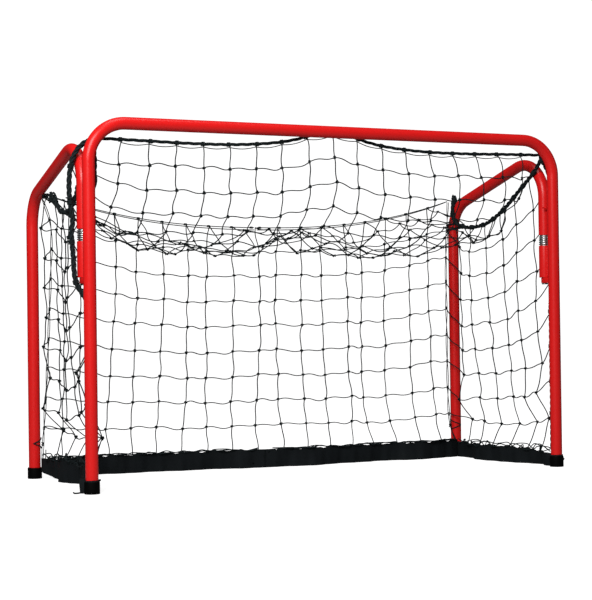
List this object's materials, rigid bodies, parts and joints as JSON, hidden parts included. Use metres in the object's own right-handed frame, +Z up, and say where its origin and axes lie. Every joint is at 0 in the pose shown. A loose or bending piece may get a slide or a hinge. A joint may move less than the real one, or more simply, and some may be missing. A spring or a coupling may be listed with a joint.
{
  "type": "folding street goal with net",
  "caption": "Folding ball-game goal: bent steel front frame, two side frames that swing in on sprung hinges, knotted net with a cloth skirt.",
  "frame": {"origin": "on the floor, midway between the two posts and midway between the front posts and the rear legs", "axes": "+X along the mouth to the right seen from the front, +Y from the mouth into the goal, +Z up"},
  "size_m": [0.9472, 0.3616, 0.6211],
  "materials": {
    "red_steel": "gloss red powder coat on steel tube",
    "zinc_spring": "bright zinc plated spring wire",
    "pin_steel": "plain turned steel",
    "rubber": "matte black moulded rubber",
    "net_twine": "black knotted twine",
    "net_cord": "black bound cord",
    "skirt_cloth": "black woven cloth"
  },
  "bodies": {
    "mouth": {"front_frame": "red_steel", "left_front_cap": "rubber", "left_hinge_sleeve": "red_steel", "left_hinge_web": "red_steel", "left_lock_spring": "zinc_spring", "left_front_cord": "net_cord", "left_net_hook_low": "red_steel", "left_net_hook_middle": "red_steel", "left_net_hook_high": "red_steel", "left_foot_strap": "skirt_cloth", "left_crossbar_hook": "red_steel", "right_front_cap": "rubber", "right_hinge_sleeve": "red_steel", "right_hinge_web": "red_steel", "right_lock_spring": "zinc_spring", "right_front_cord": "net_cord", "right_net_hook_low": "red_steel", "right_net_hook_middle": "red_steel", "right_net_hook_high": "red_steel", "right_foot_strap": "skirt_cloth", "right_crossbar_hook": "red_steel", "crossbar_band": "net_cord", "roof_net": "net_twine", "rear_top_cord": "net_cord", "back_net": "net_twine", "back_skirt": "skirt_cloth"},
    "left_lock": {"left_lock_collar": "red_steel"},
    "left_wing": {"left_side_frame": "red_steel", "left_hinge_pin": "pin_steel", "left_rear_cap": "rubber", "left_side_net": "net_twine", "left_seam_cord": "net_cord", "left_rear_cord": "net_cord", "left_leg_tie_low": "net_cord", "left_leg_tie_high": "net_cord", "left_side_skirt": "skirt_cloth"},
    "right_lock": {"right_lock_collar": "red_steel"},
    "right_wing": {"right_side_frame": "red_steel", "right_hinge_pin": "pin_steel", "right_rear_cap": "rubber", "right_side_net": "net_twine", "right_seam_cord": "net_cord", "right_rear_cord": "net_cord", "right_leg_tie_low": "net_cord", "right_leg_tie_high": "net_cord", "right_side_skirt": "skirt_cloth"}
  },
  "joints": [
    {"name": "left_lock_slide", "type": "slide", "parent": "mouth", "child": "left_lock", "axis": [0, 0, 1], "range_m": [-0.006, 0], "stiffness_N_per_m": 1800, "springref_m": 0.01, "deforming": ["left_lock_spring"]},
    {"name": "left_fold", "type": "hinge", "parent": "left_lock", "child": "left_wing", "pos_m": [-0.46065, -0.1382, 0.4362], "axis": [0, 0, 1], "range_deg": [-87.7, 0], "deforming": ["left_side_net", "left_seam_cord", "left_side_skirt", "roof_net", "rear_top_cord", "back_net", "back_skirt"]},
    {"name": "right_lock_slide", "type": "slide", "parent": "mouth", "child": "right_lock", "axis": [0, 0, 1], "range_m": [-0.006, 0], "stiffness_N_per_m": 1800, "springref_m": 0.01, "deforming": ["right_lock_spring"]},
    {"name": "right_fold", "type": "hinge", "parent": "right_lock", "child": "right_wing", "pos_m": [0.46065, -0.1382, 0.4362], "axis": [0, 0, 1], "range_deg": [0, 87.7], "deforming": ["right_side_net", "right_seam_cord", "right_side_skirt", "roof_net", "rear_top_cord", "back_net", "back_skirt"]}
  ]
}
